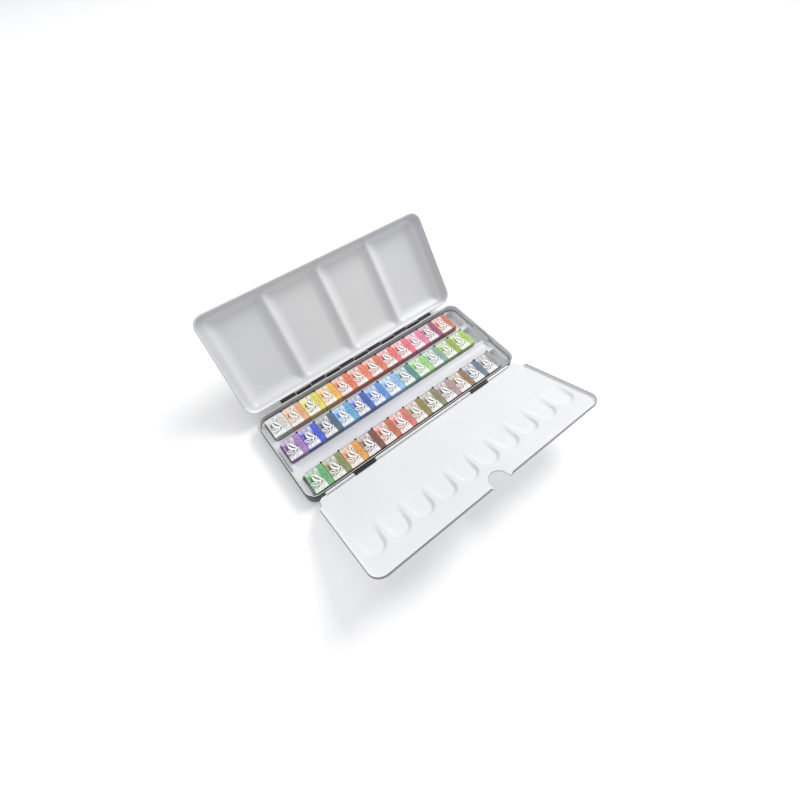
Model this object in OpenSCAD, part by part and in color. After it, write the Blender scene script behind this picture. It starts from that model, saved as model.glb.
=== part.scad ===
// Enamelled tin of thirty-six wrapped half pans, with a lid palette hinged at the back
// and a fold-out palette hinged at the front. Millimetres, +Z up. The origin is the
// centre of the tin's underside, X runs along the tin and +Y points to the back hinge.

/* [Tin] */
// Length of the tin along X
tin_w = 216.2; // [214:0.2:220]
// Depth of the tin between the outer faces of its long walls
tin_d = 86.2; // [86:0.2:88]
// Height of the tin's side and back walls
tin_h = 13; // [12.8:0.1:14]
// Thickness of the tinplate
plate_t = 0.6; // [0.4:0.1:0.6]
// Corner radius of the tin seen from above
tin_corner_r = 9; // [8:0.5:10]
// Bend radius between the tin's floor and its walls
tin_floor_r = 1.8; // [1.5:0.1:2]
// Radius of the rolled bead along every rim
bead_r = 0.55; // [0.45:0.05:0.55]
// How far the front wall stops below the rim, to let the fold-out palette through
front_drop = 1.5; // [1.2:0.1:1.7]

/* [Hinges] */
// Outer radius of a hinge knuckle
knuckle_r = 1.3; // [1.2:0.05:1.3]
// Distance of a hinge axis outside the wall that carries it
hinge_out = 1.6; // [1.6:0.05:1.8]
// Radius of the hinge pins
pin_r = 0.6; // [0.5:0.05:0.6]
// Radial clearance of a pin in the tin's own knuckles
pin_fit = 0.02; // [0.01:0.01:0.04]
// Radial clearance of a pin in the turning knuckles
turn_fit = 0.06; // [0.04:0.01:0.08]
// Number of knuckles along the back hinge
back_knuckles = 11; // [7:2:11]
// Spacing of the back hinge's knuckles
back_pitch = 14.93; // [14:0.01:15]
// Gap between two neighbouring knuckles
knuckle_gap = 0.5; // [0.3:0.1:0.6]

/* [Lid palette] */
// How far the lid opens from closed, in degrees
lid_open = 129.5; // [110:0.5:135]
// Length of the lid along X
lid_w = 218; // [217:0.2:219]
// Height of the lid's rim around the mixing wells
lid_rim_h = 5.7; // [5:0.1:6.5]
// Depth of a mixing well below the lid's border
well_depth = 4.2; // [3:0.1:4.5]
// Number of mixing wells in the lid
well_count = 4; // [3:1:5]
// Width of the slope around a mixing well
well_slope = 6; // [4:0.5:7]
// Width of the crest between two mixing wells
ridge_w = 2.4; // [2:0.2:4]

/* [Fold-out palette] */
// How far the fold-out palette opens from folded, in degrees
flap_open = 157.9; // [150:0.1:165]
// Length of the fold-out palette along X
flap_w = 212.6; // [211:0.2:212.8]
// Depth of the fold-out palette from its hinge axis
flap_d = 86; // [84:0.2:86.2]
// Height of the lip round the fold-out palette
flap_lip_h = 3; // [2:0.1:3.2]
// Corner radius of the fold-out palette's free corners
flap_corner_r = 10; // [8:0.5:12]
// Number of finger wells in the fold-out palette
finger_count = 10; // [6:1:10]
// Spacing of the finger wells
finger_pitch = 20.4; // [19:0.1:20.5]
// Depth of a finger well at its round end
finger_depth = 2.6; // [1.5:0.1:3]
// Radius of the thumb notch in the free edge
notch_r = 7.1; // [6:0.1:8]

/* [Pan holder] */
// Height of the pan holder's top plate above the table
holder_top = 7; // [6:0.1:7.5]
// Thickness of the pan holder's plate
holder_t = 0.5; // [0.4:0.1:0.5]
// Depth of the brush rest's hollow
brush_dip = 1.4; // [0.5:0.1:2]

/* [Pans] */
// Length of a wrapped half pan along X
pan_w = 15.8; // [15:0.1:15.9]
// Depth of a wrapped half pan
pan_d = 19; // [18:0.1:19]
// Height of a wrapped half pan
pan_h = 10; // [9:0.1:10]
// Spacing of the pans in a row
pan_pitch = 16.2; // [16.1:0.05:16.25]

/* [Hidden] */
$fn = 48;
eps = 0.01;

first_pan = 9;
row_len = 12;
pan_tints = [
    "gainsboro", "sandybrown", "gold", "orange", "tomato", "orangered",
    "red", "crimson", "deeppink", "hotpink", "mediumvioletred", "coral",
    "mediumpurple", "blueviolet", "darkslategray", "deepskyblue", "royalblue", "dodgerblue",
    "lightskyblue", "teal", "limegreen", "darkseagreen", "yellowgreen", "olivedrab",
    "seagreen", "darkolivegreen", "goldenrod", "saddlebrown", "sienna", "indianred",
    "darkgoldenrod", "dimgray", "rosybrown", "chocolate", "steelblue", "gray"
];

// Rows of pans, back to front: the y of the middle of each row and the x of its middle
row_y = [28.4, 3.2, -31.1];
row_x = [-4.8, -4.8, -3.7];

back_axis_y = tin_d / 2 + hinge_out;
back_axis_z = tin_h + 0.1;
front_axis_y = -tin_d / 2 - hinge_out;
front_axis_z = tin_h - 1.7;
leaf_low = -knuckle_r;
leaf_high = knuckle_r - plate_t;

lid_z = tin_h + 0.3;
lid_d = 88;
lid_y = tin_d / 2 - lid_d / 2;
lid_corner_r = 9.5;
lid_bend_r = 2;
lid_border_z = lid_z + lid_rim_h;
well_margin_x = 7.4;
well_margin_back = 3.5;
well_margin_front = 5.1;
well_pitch = (lid_w - 2 * well_margin_x + ridge_w) / well_count;

flap_bend_r = 1.2;
flap_neck_w = 206;
flap_neck_d = 8.5;
flap_neck_r = 4.5;
finger_start = 45;
finger_r = 8.6;
finger_end = 69.6;
notch_d = 81.7;

front_tin_knuckles = [[-70, -50], [50, 70]];
front_flap_knuckles = [[-96, -70], [-50, 50], [70, 96]];
front_gap_w = 208;
knuckle_room = 0.6;

holder_w = 213.2;
holder_d = 83.2;
holder_corner_r = 8;
trough_left = -102.6;
trough_right = 103;
trough_floor = 1.4;
rail_top = 6;
brush_edge = 0.6;
trough_corner_r = 2;
// Inner faces of the three troughs, back to front: [front y, back y]
troughs = [[18.5, 39.1], [-6.7, 14], [-41, -20.4]];
tab_x = 104.6;
tab_top = 11.4;
tab_front = -12;
tab_back = 9.5;
tab_r = 3;

clip_t = 0.4;
clip_top = 9.4;
clip_tongue_w = 1.8;
clip_tongue_foot = 2;
clip_inset = 2;
clip_tongue_top = 11.3;

pan_z = 1.5;
paper_t = 0.2;
pan_clear = 0.1;
cup_inset = 0.2;
cup_t = 0.9;
cake_drop = 0.8;

// --- shared shapes ---

// Flat rounded rectangle
module rounded_rect(w, d, r) {
    square([w, d - 2 * r], center = true);
    square([w - 2 * r, d], center = true);
    for (sx = [-1, 1], sy = [-1, 1])
        translate([sx * (w / 2 - r), sy * (d / 2 - r)])
            circle(r);
}

// Carries a flat profile round a rounded rectangle. The profile's x is the distance
// outwards from the line through the corner centres and its y is the height.
module rim_run(w, d, r) {
    for (side = [0, 180]) {
        rotate([0, 0, side])
            translate([-(w / 2 - r), d / 2 - r, 0])
                rotate([90, 0, 90])
                    linear_extrude(w - 2 * r)
                        children();
        rotate([0, 0, side])
            translate([w / 2 - r, d / 2 - r, 0])
                rotate([90, 0, 0])
                    linear_extrude(d - 2 * r)
                        children();
    }
    for (side = [0, 180]) {
        rotate([0, 0, side])
            translate([w / 2 - r, d / 2 - r, 0])
                rotate_extrude(angle = 90, $fn = 96)
                    children();
        rotate([0, 0, side])
            translate([-(w / 2 - r), d / 2 - r, 0])
                rotate([0, 0, 90])
                    rotate_extrude(angle = 90, $fn = 96)
                        children();
    }
}

// Section of a drawn rim: a flat sheet at the bottom, a bend, a wall and a rolled bead.
// reach is the distance from the corner centres to the wall's outer face.
module drawn_section(reach, height, bend) {
    square([reach - bend, plate_t]);
    translate([reach - bend, bend])
        intersection() {
            difference() {
                circle(bend);
                circle(bend - plate_t);
            }
            translate([0, -bend])
                square(bend);
        }
    translate([reach - plate_t, bend])
        square([plate_t, height - bend - bead_r]);
    translate([reach - bead_r, height - bead_r])
        circle(bead_r);
}

// Hinge knuckle from x0 to x1 on an axis along X, with its leaf running to one side.
// leaf_z is the height of the leaf's lower face above the axis.
module knuckle(x0, x1, bore, leaf_z, leaf_y) {
    difference() {
        union() {
            translate([x0, 0, 0])
                rotate([0, 90, 0])
                    cylinder(r = knuckle_r, h = x1 - x0);
            translate([x0, min(0, leaf_y), leaf_z])
                cube([x1 - x0, abs(leaf_y), plate_t]);
        }
        translate([x0 - 1, 0, 0])
            rotate([0, 90, 0])
                cylinder(r = bore, h = x1 - x0 + 2);
    }
}

// Left end of a back knuckle, counted from the left
function back_x(i) = (i - back_knuckles / 2) * back_pitch + knuckle_gap / 2;

module back_knuckle_set(first, bore, leaf_z) {
    translate([0, back_axis_y, back_axis_z])
        for (i = [first:2:back_knuckles - 1])
            knuckle(back_x(i), back_x(i) + back_pitch - knuckle_gap, bore, leaf_z, -hinge_out - plate_t / 2);
}

// --- the tin ---

module base_tray() color("#26282b") {
    difference() {
        union() {
            rim_run(tin_w, tin_d, tin_corner_r)
                drawn_section(tin_corner_r, tin_h, tin_floor_r);
            translate([0, 0, plate_t / 2])
                cube([tin_w - 2 * tin_corner_r, tin_d - 2 * tin_corner_r, plate_t], center = true);
        }
        translate([-front_gap_w / 2, -tin_d / 2 - 1, tin_h - front_drop])
            cube([front_gap_w, 4, front_drop + 1]);
    }
    back_knuckle_set(1, pin_r + pin_fit, leaf_low);
    translate([0, front_axis_y, front_axis_z])
        for (k = front_tin_knuckles)
            knuckle(k[0] + knuckle_gap / 2, k[1] - knuckle_gap / 2, pin_r + pin_fit, leaf_low,
                hinge_out + plate_t / 2);
}

// Plain wire pin, flush with the outer ends of its end knuckles
module hinge_pin(half_length)
    rotate([0, 90, 0])
        cylinder(r = pin_r, h = 2 * half_length, center = true);

module back_hinge_pin() color("silver")
    translate([0, back_axis_y, back_axis_z])
        hinge_pin((back_knuckles * back_pitch - knuckle_gap) / 2);

module front_hinge_pin() color("silver")
    translate([0, front_axis_y, front_axis_z])
        hinge_pin(front_flap_knuckles[2][1] - knuckle_gap / 2);

// --- the lid, drawn closed and turned open ---

// Four-sided hollow with sloping walls for one mixing well, grown outwards by grow
module well_block(i, grow) {
    x0 = -lid_w / 2 + well_margin_x + i * well_pitch - grow;
    x1 = x0 + well_pitch - ridge_w + 2 * grow;
    y0 = lid_y - lid_d / 2 + well_margin_front - grow;
    y1 = lid_y + lid_d / 2 - well_margin_back + grow;
    z0 = lid_border_z - plate_t;
    z1 = lid_border_z + well_depth + (grow > 0 ? plate_t : 0);
    lead = well_slope * (lid_border_z - z0) / well_depth;
    intersection() {
        translate([0, y1 + 10, 0])
            rotate([90, 0, 0])
                linear_extrude(y1 - y0 + 20)
                    polygon([[x0 - lead, z0], [x1 + lead, z0], [x1 - well_slope, z1], [x0 + well_slope, z1]]);
        translate([x0 - 10, 0, 0])
            rotate([90, 0, 90])
                linear_extrude(x1 - x0 + 20)
                    polygon([[y0 - lead, z0], [y1 + lead, z0], [y1 - well_slope, z1], [y0 + well_slope, z1]]);
    }
}

module lid_closed() {
    difference() {
        union() {
            translate([0, lid_y, lid_border_z + plate_t])
                mirror([0, 0, 1])
                    rim_run(lid_w, lid_d, lid_corner_r)
                        drawn_section(lid_corner_r, lid_rim_h + plate_t, lid_bend_r);
            translate([0, lid_y, lid_border_z + plate_t / 2])
                cube([lid_w - 2 * lid_corner_r, lid_d - 2 * lid_corner_r, plate_t], center = true);
            for (i = [0:well_count - 1])
                intersection() {
                    well_block(i, plate_t);
                    translate([-lid_w / 2, lid_y - lid_d / 2, lid_border_z + eps])
                        cube([lid_w, lid_d, well_depth + 2]);
                }
        }
        for (i = [0:well_count - 1])
            well_block(i, 0);
    }
    back_knuckle_set(0, pin_r + turn_fit, leaf_high);
}

module lid_palette() color("#d9dadc")
    translate([0, back_axis_y, back_axis_z])
        rotate([-lid_open, 0, 0])
            translate([0, -back_axis_y, -back_axis_z])
                lid_closed();

// --- the fold-out palette, drawn folded with y measured from its hinge axis ---

// Section of the palette's edge: flat sheet, bend and lip, pointing down when folded
module flap_section() {
    reach = flap_corner_r;
    translate([0, -plate_t])
        square([reach - flap_bend_r, plate_t]);
    translate([reach - flap_bend_r, -flap_bend_r])
        intersection() {
            difference() {
                circle(flap_bend_r);
                circle(flap_bend_r - plate_t);
            }
            square(flap_bend_r);
        }
    translate([reach - plate_t, -flap_lip_h])
        square([plate_t, flap_lip_h - flap_bend_r]);
}

module flap_edge() {
    run = flap_d - flap_corner_r - flap_neck_d;
    for (side = [0, 1])
        mirror([side, 0, 0]) {
            translate([flap_w / 2 - flap_corner_r, flap_neck_d, 0])
                mirror([0, 1, 0])
                    rotate([90, 0, 0])
                        linear_extrude(run)
                            flap_section();
            translate([flap_w / 2 - flap_corner_r, flap_d - flap_corner_r, 0])
                rotate_extrude(angle = 90, $fn = 96)
                    flap_section();
        }
    translate([-(flap_w / 2 - flap_corner_r), flap_d - flap_corner_r, 0])
        rotate([90, 0, 90])
            linear_extrude(flap_w - 2 * flap_corner_r)
                flap_section();
}

// Flat sheet between the edges, narrower at the neck so that it passes the tin's corners
module flap_sheet() {
    translate([0, 0, -plate_t])
        linear_extrude(plate_t) {
            translate([-flap_w / 2 + flap_corner_r, flap_neck_d])
                square([flap_w - 2 * flap_corner_r, flap_d - flap_corner_r - flap_neck_d]);
            translate([-flap_neck_w / 2 + flap_neck_r, 0])
                square([flap_neck_w - 2 * flap_neck_r, flap_neck_d + 2]);
            translate([-flap_neck_w / 2, flap_neck_r])
                square([flap_neck_w, flap_neck_d + 2 - flap_neck_r]);
            for (side = [-1, 1])
                translate([side * (flap_neck_w / 2 - flap_neck_r), flap_neck_r])
                    circle(flap_neck_r);
        }
}

// Finger well: a U-shaped scoop that ramps from nothing to its full depth at the round end
module finger_scoop(grow) {
    intersection() {
        translate([0, 0, -2 * plate_t])
            linear_extrude(finger_depth + 4) {
                translate([-finger_r - grow, finger_start - grow])
                    square([2 * (finger_r + grow), finger_end - finger_r - finger_start + grow]);
                translate([0, finger_end - finger_r])
                    circle(finger_r + grow);
            }
        translate([-finger_r - 2, 0, -plate_t])
            rotate([90, 0, 90])
                linear_extrude(2 * finger_r + 4)
                    polygon([
                        [finger_start - 2, -eps], [finger_end + 2, -eps],
                        [finger_end + 2, finger_depth + grow], [finger_start, grow], [finger_start - 2, grow]
                    ]);
    }
}

module finger_row(grow) {
    for (i = [0:finger_count - 1])
        translate([(i - (finger_count - 1) / 2) * finger_pitch, 0, 0])
            finger_scoop(grow);
}

module flap_folded() {
    translate([0, 0, leaf_high + plate_t])
        difference() {
            union() {
                flap_edge();
                flap_sheet();
                finger_row(plate_t);
            }
            finger_row(0);
            // thumb notch
            translate([0, notch_d, -flap_lip_h - 1])
                linear_extrude(flap_lip_h + 3) {
                    circle(notch_r);
                    translate([-notch_r, 0])
                        square([2 * notch_r, flap_d]);
                }
            // room for the tin's knuckles
            for (k = front_tin_knuckles)
                translate([k[0] - knuckle_gap / 2, -2, -plate_t - 1])
                    cube([k[1] - k[0] + knuckle_gap, 2 + knuckle_r + knuckle_room, plate_t + 2]);
        }
    for (k = front_flap_knuckles)
        knuckle(k[0] + knuckle_gap / 2, k[1] - knuckle_gap / 2, pin_r + turn_fit, leaf_high, hinge_out);
}

module flap_palette() color("whitesmoke")
    translate([0, front_axis_y, front_axis_z])
        rotate([flap_open, 0, 0])
            flap_folded();

// --- the pan holder ---

// Box over the troughs' length with round upright corners, grown outwards by grow
module trough_box(y0, y1, z0, grow, height) {
    translate([(trough_left + trough_right) / 2, (y0 + y1) / 2, z0])
        linear_extrude(height)
            rounded_rect(trough_right - trough_left + 2 * grow, y1 - y0 + 2 * grow, trough_corner_r + grow);
}

// Slot over the rail between the first two rows, short of the troughs' round corners
module rail_box(z0, height) {
    y0 = troughs[1][1];
    y1 = troughs[0][0];
    translate([trough_left + trough_corner_r, y0, z0])
        cube([trough_right - trough_left - 2 * trough_corner_r, y1 - y0, height]);
}

// Lifting tab at an end of the holder, with round shoulders
module holder_tab() {
    translate([tab_x, 0, 0])
        rotate([90, 0, 90])
            linear_extrude(holder_t) {
                translate([tab_front, holder_top - holder_t])
                    square([tab_back - tab_front, tab_top - tab_r - holder_top + holder_t]);
                translate([tab_front + tab_r, holder_top - holder_t])
                    square([tab_back - tab_front - 2 * tab_r, tab_top - holder_top + holder_t]);
                for (y = [tab_front + tab_r, tab_back - tab_r])
                    translate([y, tab_top - tab_r])
                        circle(tab_r);
            }
}

// Curved hollow of the brush rest between the second and third rows, grown by grow
module brush_hollow(grow) {
    y0 = troughs[2][1] + holder_t + brush_edge;
    y1 = troughs[1][0] - holder_t - brush_edge;
    half = (y1 - y0) / 2;
    r = (half * half + brush_dip * brush_dip) / (2 * brush_dip);
    intersection() {
        translate([trough_left - grow, (y0 + y1) / 2, holder_top + r - brush_dip])
            rotate([0, 90, 0])
                cylinder(r = r + grow, h = trough_right - trough_left + 2 * grow, $fn = 240);
        translate([trough_left - grow, y0 - grow, holder_top - brush_dip - 1])
            cube([trough_right - trough_left + 2 * grow, y1 - y0 + 2 * grow, brush_dip + 1 + (grow > 0 ? 0 : 1)]);
    }
}

module pan_holder() color("gainsboro") {
    difference() {
        union() {
            translate([0, 0, holder_top - holder_t])
                linear_extrude(holder_t)
                    rounded_rect(holder_w, holder_d, holder_corner_r);
            for (t = troughs)
                trough_box(t[0], t[1], trough_floor - holder_t, holder_t, holder_top - trough_floor + holder_t);
            brush_hollow(holder_t);
            for (side = [0, 1])
                mirror([side, 0, 0])
                    holder_tab();
        }
        for (t = troughs)
            trough_box(t[0], t[1], trough_floor, 0, holder_top);
        rail_box(rail_top, holder_top);
        brush_hollow(0);
    }
    rail_box(rail_top - holder_t, holder_t);
}

// Spring strip along the back wall of a trough, with a tongue to the right of each pan
module clip_strip(row) color("dimgray") {
    x0 = row_x[row] - row_len * pan_pitch / 2;
    back = troughs[row][1];
    translate([x0 + clip_inset, back - clip_t, trough_floor])
        cube([row_len * pan_pitch - clip_inset, clip_t, clip_top - trough_floor]);
    for (i = [1:row_len])
        translate([x0 + i * pan_pitch - clip_tongue_w / 2, back - clip_t, trough_floor + clip_tongue_foot])
            cube([clip_tongue_w, clip_t, clip_tongue_top - trough_floor - clip_tongue_foot]);
}

// --- the pans ---

// Wrapped half pan: a paper sleeve round a plastic cup that holds a cake of paint
module half_pan() {
    cup_w = pan_w - 2 * cup_inset;
    cup_d = pan_d - 2 * (paper_t + pan_clear);
    cup_h = pan_h - 2 * (paper_t + pan_clear);
    cup_z = paper_t + pan_clear;
    translate([-pan_w / 2, 0, 0])
        rotate([90, 0, 90])
            linear_extrude(pan_w)
                difference() {
                    translate([-pan_d / 2, 0])
                        square([pan_d, pan_h]);
                    translate([-pan_d / 2 + paper_t, paper_t])
                        square([pan_d - 2 * paper_t, pan_h - 2 * paper_t]);
                }
    difference() {
        translate([-cup_w / 2, -cup_d / 2, cup_z])
            cube([cup_w, cup_d, cup_h]);
        translate([-cup_w / 2 + cup_t, -cup_d / 2 + cup_t, cup_z + cup_t])
            cube([cup_w - 2 * cup_t, cup_d - 2 * cup_t, cup_h]);
    }
    translate([-cup_w / 2 + cup_t + pan_clear, -cup_d / 2 + cup_t + pan_clear, cup_z + cup_t + pan_clear])
        cube([
            cup_w - 2 * (cup_t + pan_clear), cup_d - 2 * (cup_t + pan_clear),
            cup_h - cup_t - pan_clear - cake_drop
        ]);
}

// Pan number i, counted along the rows from the back left
module pan(i) {
    row = floor(i / row_len);
    place = i % row_len - (row_len - 1) / 2;
    color(pan_tints[i])
        translate([row_x[row] + place * pan_pitch, row_y[row], pan_z])
            half_pan();
}

base_tray();
lid_palette();
flap_palette();
back_hinge_pin();
front_hinge_pin();
pan_holder();
clip_strip(0);  // clip_strip_back
clip_strip(1);  // clip_strip_middle
clip_strip(2);  // clip_strip_front
for (i = [0:35])
    pan(i);
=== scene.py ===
# Watercolour tin with a lid palette, a fold-out palette and thirty-six wrapped half pans.
# Shapes are worked out in millimetres and written to the meshes in metres.
import math
import bpy
import numpy as np
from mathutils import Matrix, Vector


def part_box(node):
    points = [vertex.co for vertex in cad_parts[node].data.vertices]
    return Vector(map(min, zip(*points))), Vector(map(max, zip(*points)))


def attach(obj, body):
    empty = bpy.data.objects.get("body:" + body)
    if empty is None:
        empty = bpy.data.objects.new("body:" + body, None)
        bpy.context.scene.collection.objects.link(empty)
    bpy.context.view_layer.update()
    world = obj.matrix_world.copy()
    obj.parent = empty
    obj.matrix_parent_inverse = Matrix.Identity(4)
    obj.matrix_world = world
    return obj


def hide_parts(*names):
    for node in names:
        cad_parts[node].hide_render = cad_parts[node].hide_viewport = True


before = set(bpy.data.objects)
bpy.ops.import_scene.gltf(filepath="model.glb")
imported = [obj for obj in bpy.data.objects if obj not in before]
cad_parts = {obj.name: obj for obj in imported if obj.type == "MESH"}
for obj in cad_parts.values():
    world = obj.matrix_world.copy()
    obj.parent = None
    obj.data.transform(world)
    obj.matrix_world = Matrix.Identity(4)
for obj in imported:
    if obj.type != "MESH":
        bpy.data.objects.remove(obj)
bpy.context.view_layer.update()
mm = 0.001
scene = bpy.context.scene
scene.view_settings.view_transform = "Standard"
print("frame loaded:", len(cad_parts), "nodes")


# colours, nodes and meshes

def linearColor(hexCode):
    # sRGB hex to linear: c / 12.92 below 0.04045, else ((c + 0.055) / 1.055) to the power 2.4
    srgb = np.array([int(hexCode[i:i + 2], 16) for i in (1, 3, 5)]) / 255
    linear = np.where(srgb < 0.04045, srgb / 12.92, ((srgb + 0.055) / 1.055) ** 2.4)
    return (*(float(c) for c in linear), 1.0)


def setInputs(tree, node, inputs):
    # another node's output is linked, anything else is a value on the node's own socket
    for key, value in inputs.items():
        if isinstance(value, bpy.types.NodeSocket):
            tree.links.new(value, node.inputs[key])
        else:
            node.inputs[key].default_value = value


def addNode(tree, kind, inputs=None, stops=(), **settings):
    # one node with its settings and inputs; stops are a colour ramp's positions and hex colours
    node = tree.nodes.new(kind)
    for key, value in settings.items():
        setattr(node, key, value)
    for i, (position, hexCode) in enumerate(stops):
        node.color_ramp.elements[i].position = position
        node.color_ramp.elements[i].color = linearColor(hexCode)
    setInputs(tree, node, inputs or {})
    return node


def startMaterial(name):
    # empty material with an output, a Principled shader and object coordinates
    material = bpy.data.materials.new(name)
    material.use_nodes = True
    tree = material.node_tree
    tree.nodes.clear()
    shader = addNode(tree, "ShaderNodeBsdfPrincipled")
    addNode(tree, "ShaderNodeOutputMaterial", {"Surface": shader.outputs["BSDF"]})
    place = addNode(tree, "ShaderNodeTexCoord").outputs["Object"]
    return material, tree, shader, place


def smoothStep(low, high, value):
    # 0 below low, 1 above high, 3t^2 - 2t^3 between
    t = np.clip((value - low) / (high - low), 0, 1)
    return t * t * (3 - 2 * t)


def softClip(t, bend):
    # straight ramp from 0 at t = 0 to 1 at t = 1, with both ends rounded over about bend
    return 0.5 * (np.sqrt(t * t + bend * bend) - np.sqrt((t - 1) ** 2 + bend * bend) + 1)


def boxDistance(x, y, low, high, radius):
    # distance to a rounded rectangle from low to high: negative inside, positive outside
    cx, cy = (low[0] + high[0]) / 2, (low[1] + high[1]) / 2
    qx = np.abs(x - cx) - (high[0] - low[0]) / 2 + radius
    qy = np.abs(y - cy) - (high[1] - low[1]) / 2 + radius
    outside = np.hypot(np.maximum(qx, 0), np.maximum(qy, 0))
    return outside + np.minimum(np.maximum(qx, qy), 0) - radius


def gridFaces(ids, closed=False):
    # quads of a grid of vertex numbers, anticlockwise where rows run along +Y and columns along +X
    if closed:
        ids = np.concatenate([ids, ids[:, :1]], axis=1)
    corners = [ids[:-1, :-1], ids[:-1, 1:], ids[1:, 1:], ids[1:, :-1]]
    return np.stack(corners, axis=-1).reshape(-1, 4)


def makePiece(name, points, faces, materials, faceMaterial=None, sharpAngle=40, colors=None):
    # mesh from point and quad arrays, smooth except across edges sharper than sharpAngle degrees
    mesh = bpy.data.meshes.new(name)
    mesh.vertices.add(len(points))
    mesh.vertices.foreach_set("co", (np.asarray(points) * mm).astype(np.float32).ravel())
    mesh.loops.add(faces.size)
    mesh.loops.foreach_set("vertex_index", faces.astype(np.int32).ravel())
    mesh.polygons.add(len(faces))
    mesh.polygons.foreach_set("loop_start", np.arange(0, faces.size, 4, dtype=np.int32))
    mesh.update(calc_edges=True)
    for material in materials:
        mesh.materials.append(material)
    if faceMaterial is not None:
        mesh.polygons.foreach_set("material_index", faceMaterial.astype(np.int32))
    mesh.shade_smooth()
    mesh.set_sharp_from_angle(angle=math.radians(sharpAngle))
    if colors is not None:
        layer = mesh.color_attributes.new("inkAndPaintedShade", "FLOAT_COLOR", "POINT")
        layer.data.foreach_set("color", colors.astype(np.float32).ravel())
    mesh.validate()
    piece = bpy.data.objects.new(name, mesh)
    scene.collection.objects.link(piece)
    return piece


def turnAboutX(points, axis, degrees):
    # local (x, v, h) to the frame: turned by degrees about the line along X through axis (y, z)
    c, s = math.cos(math.radians(degrees)), math.sin(math.radians(degrees))
    x, v, h = points[:, 0], points[:, 1], points[:, 2]
    return np.stack([x, axis[0] + v * c - h * s, axis[1] + v * s + h * c], axis=1)


# pressed sheets: a height over a grid, closed by a profile carried round its border

cornerRise = np.sin(np.linspace(0, math.pi / 2, 9))  # the eight steps of a round corner
noCorner = 99  # stands for an end too far off to have a round corner


def cornerSteps(low, high, radius, step):
    # rows from low to high: even steps of a quarter circle in each round corner, even steps between
    start = low + radius - (cornerRise * radius)[::-1]
    end = high - radius + cornerRise * radius
    middle = np.linspace(start[-1], end[0], max(2, int((end[0] - start[-1]) / step) + 1))
    return np.concatenate([start[:-1], middle, end[1:]])


def roundedHalfWidth(v, low, high, half, radius):
    # half width of a rounded rectangle at v: half - r + sqrt(r^2 - t^2) where t runs into a corner
    t = np.maximum(np.maximum(low + radius - v, v - high + radius), 0)
    return half - radius + np.sqrt(np.maximum(radius ** 2 - t ** 2, 0))


def squeezedGrid(columns, rows, halfWidth, core):
    # straight columns inside +-core; those outside are squeezed so that the last follows halfWidth
    x, v = np.meshgrid(columns, rows)
    outer = core + (np.abs(x) - core) * (halfWidth[:, None] - core) / (columns[-1] - core)
    return np.where(np.abs(x) > core, np.sign(x) * outer, x), v


def borderLoop(rowCount, columnCount):
    # vertex numbers round a grid's border, anticlockwise seen from above
    ids = np.arange(rowCount * columnCount).reshape(rowCount, columnCount)
    return np.concatenate([ids[0], ids[1:, -1], ids[-1, -2::-1], ids[-2:0:-1, 0]])


def outwardNormals(loop):
    # unit normals of an anticlockwise loop: the mean of each point's two edges, turned right
    before, after = loop - np.roll(loop, 1, axis=0), np.roll(loop, -1, axis=0) - loop
    unit = lambda e: e / np.maximum(np.linalg.norm(e, axis=1, keepdims=True), 1e-9)
    along = unit(unit(before) + unit(after))
    return np.stack([along[:, 1], -along[:, 0]], axis=1)


def pressedSheet(x, v, top, under, profile):
    # top and under are heights over the grid (x, v). profile says how far out and how high each
    # ring stands from the border of the top, from the top's side round to the under side: (rings,
    # 2), or (rings, border, 2) where it changes on the way round. Each face comes back with its
    # ring's number, which is -1 on top and highest underneath
    if profile.ndim == 2:
        profile = profile[:, None]
    loop = borderLoop(*x.shape)
    border = np.stack([x.ravel(), v.ravel()], axis=1)[loop]
    rings = border[None] + profile[..., :1] * outwardNormals(border)[None]
    heights = top.ravel()[loop][None] + profile[..., 1]
    points = np.concatenate([
        np.stack([x.ravel(), v.ravel(), top.ravel()], axis=1),
        np.concatenate([rings, heights[..., None]], axis=-1).reshape(-1, 3),
        np.stack([x.ravel(), v.ravel(), under.ravel()], axis=1)])
    topIds = np.arange(x.size).reshape(x.shape)
    ringIds = x.size + np.arange(len(profile) * len(loop)).reshape(len(profile), len(loop))
    underIds = topIds + x.size + ringIds.size
    chain = np.concatenate([loop[None], ringIds, underIds.ravel()[loop][None]])
    topFaces, underFaces = gridFaces(topIds), gridFaces(underIds)[:, ::-1]
    ringFaces = gridFaces(chain, closed=True)[:, ::-1]
    ring = np.concatenate([np.full(len(topFaces), -1),
                           np.repeat(np.arange(len(chain) - 1), len(loop)),
                           np.full(len(underFaces), len(chain))])
    return points, np.concatenate([topFaces, ringFaces, underFaces]), ring


def arc(cx, cy, radius, start, end, count):
    # points on a circle from start to end degrees
    a = np.radians(np.linspace(start, end, count))
    return np.stack([cx + radius * np.cos(a), cy + radius * np.sin(a)], axis=1)


def drawnProfile(bend, rise, bead, sheet):
    # section of a drawn rim: inner bend, wall, rolled bead, outer wall and outer bend
    inner = bend - sheet
    return np.concatenate([
        arc(0, inner, inner, -80, 0, 5),
        [[inner, rise - 2 * bead - 0.25], [inner - 0.02, rise - 2 * bead]],
        arc(bend - bead, rise - bead, bead, 230, 0, 12),
        [[bend, inner]],
        arc(0, inner, bend, -15, -80, 5)])


def lipProfile(bend, rise, sheet):
    # section of a thin lip: inner bend, half-round edge, outer wall and outer bend
    inner, half = bend - sheet, sheet / 2
    return np.concatenate([
        arc(0, inner, inner, -80, 0, 5),
        arc(bend - half, rise - half, half, 180, 0, 7),
        [[bend, inner]],
        arc(0, inner, bend, -15, -80, 5)])


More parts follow.
